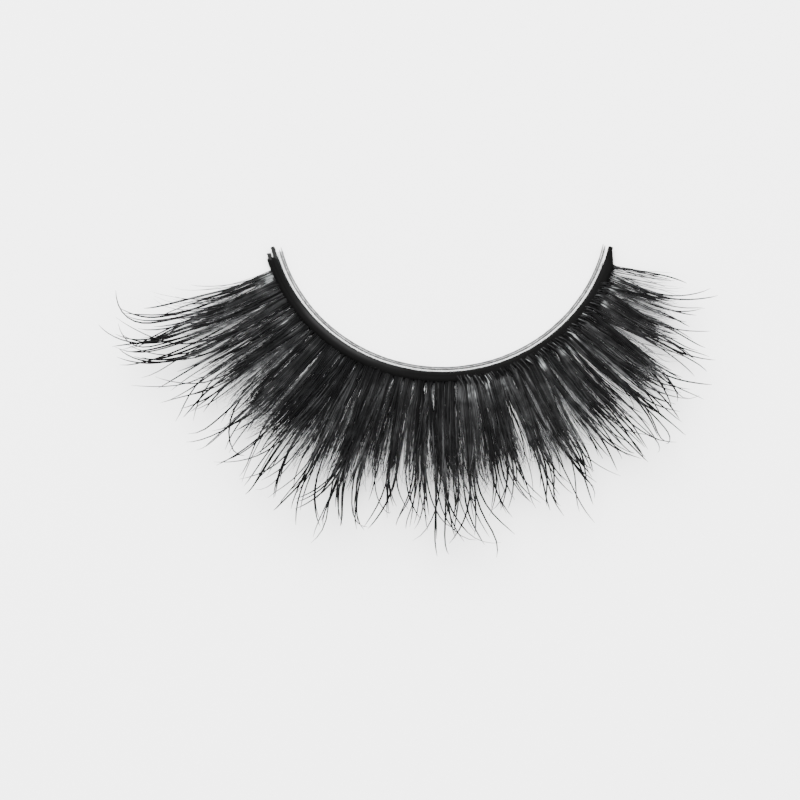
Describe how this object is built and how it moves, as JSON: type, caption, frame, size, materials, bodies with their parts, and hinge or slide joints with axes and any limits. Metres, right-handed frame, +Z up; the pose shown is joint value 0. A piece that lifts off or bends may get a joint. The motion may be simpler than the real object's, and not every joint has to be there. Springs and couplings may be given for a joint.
{
  "type": "false eyelash strip",
  "caption": "Curved false eyelash strip: fine black lashes curling up from a corded band with a clear adhesive edge, longer at the outer corner.",
  "frame": {"origin": "middle of the band's flat underside, half way along the band", "axes": "+Z up from the surface that the band lies on, +X towards the short inner corner, +Y towards the eye, lashes pointing to -Y at the middle"},
  "size_m": [0.044, 0.0245, 0.0064],
  "materials": {
    "lash_hair": "fine black fibre with a soft sheen",
    "band_cord": "matte black coated cord",
    "clear_adhesive": "clear dried adhesive, glossy and ridged"
  },
  "bodies": {
    "root": {"clear_adhesive_strip": "clear_adhesive", "inner_band_cord": "band_cord", "outer_band_cord": "band_cord", "long_lash_row": "lash_hair", "short_lash_row": "lash_hair"}
  },
  "joints": []
}
